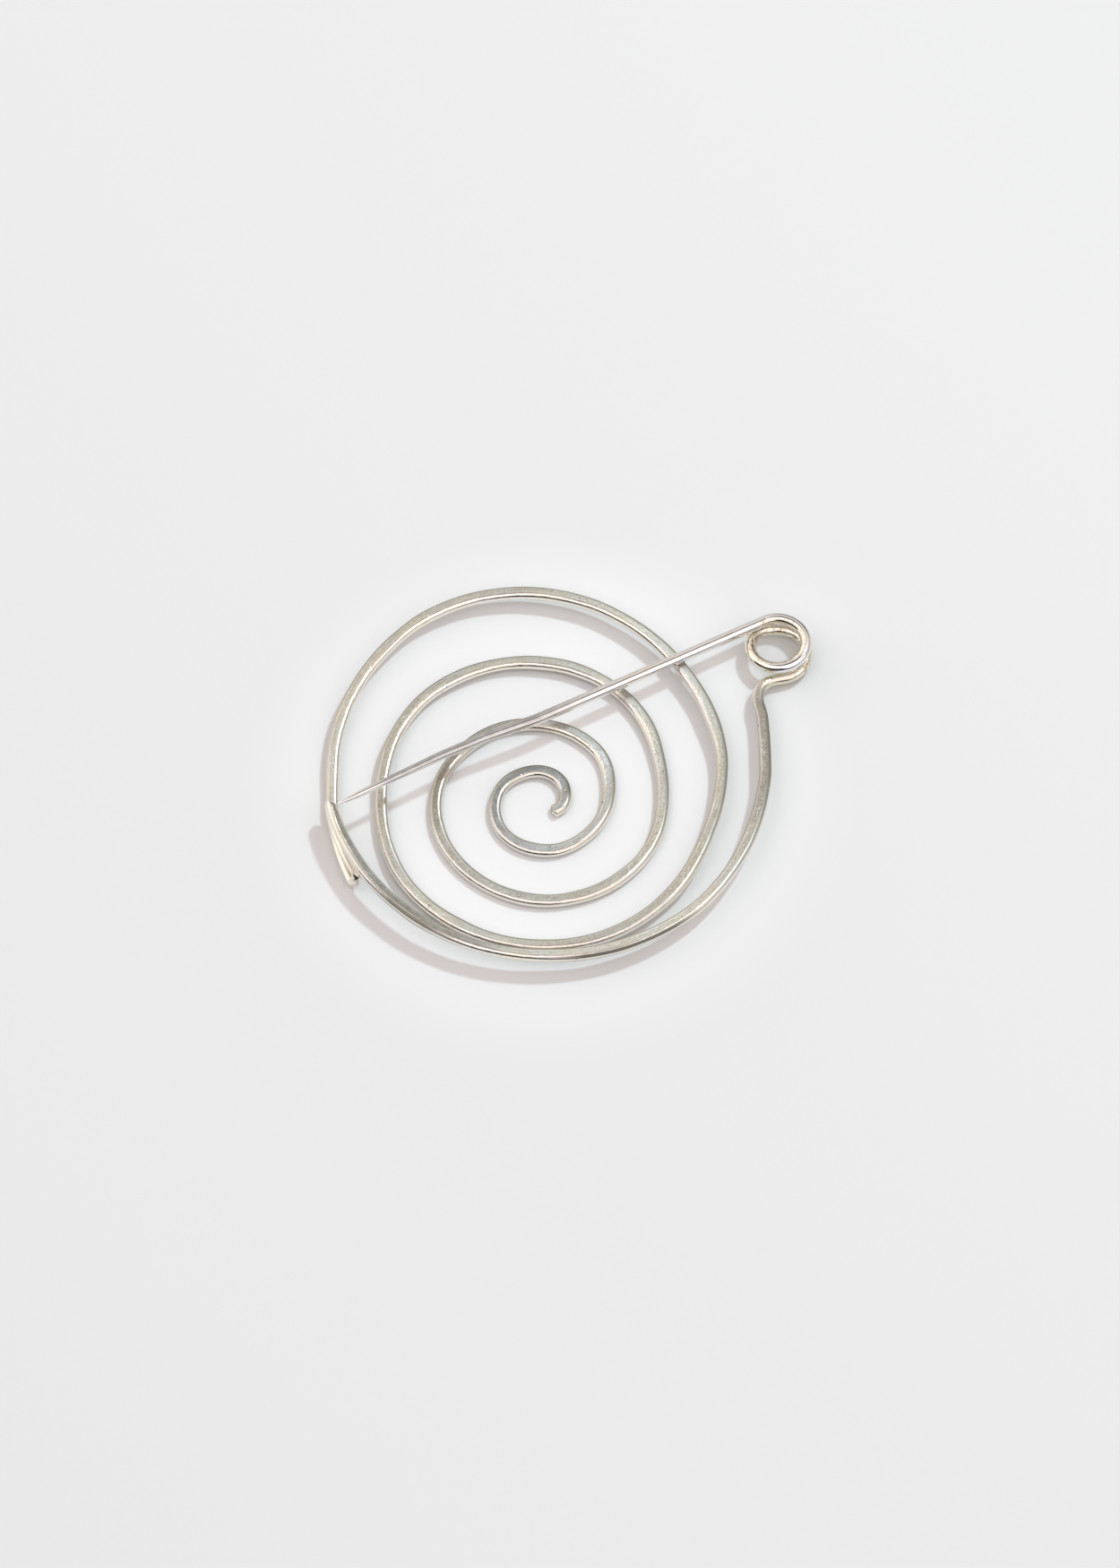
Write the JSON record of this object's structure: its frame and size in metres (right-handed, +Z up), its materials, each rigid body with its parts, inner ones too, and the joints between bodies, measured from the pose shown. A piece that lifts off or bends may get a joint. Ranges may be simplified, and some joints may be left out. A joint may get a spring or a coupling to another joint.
{
  "type": "spiral brooch",
  "caption": "Open spiral brooch bent from one silver wire, with a folded catch, a coiled spring and a long sprung pin.",
  "frame": {"origin": "centre of the spiral, on the plane that the brooch lies on", "axes": "+Z up off the plane that the brooch lies on, +X along the brooch's length from the catch towards the spring coil, +Y towards the side where the pin crosses the spiral"},
  "size_m": [0.0643, 0.0569, 0.0061],
  "materials": {
    "hammered_silver": "satin silver, hammered flat with softly squared edges",
    "polished_silver": "smooth polished round silver wire"
  },
  "bodies": {
    "frame": {"spiral_turn_1": "hammered_silver", "spiral_turn_2": "hammered_silver", "spiral_turn_3": "hammered_silver", "spiral_turn_4": "hammered_silver", "catch": "hammered_silver", "rim": "hammered_silver", "coil_lower": "polished_silver"},
    "spring_pin": {"coil_upper": "polished_silver", "pin": "polished_silver"}
  },
  "joints": [
    {"name": "pin_swing", "type": "hinge", "parent": "frame", "child": "spring_pin", "pos_m": [0.0304, 0.0216, 0.0012], "axis": [0, -0.0872, -0.9962], "range_deg": [-5, 10], "stiffness_Nm_per_rad": 0.5}
  ]
}
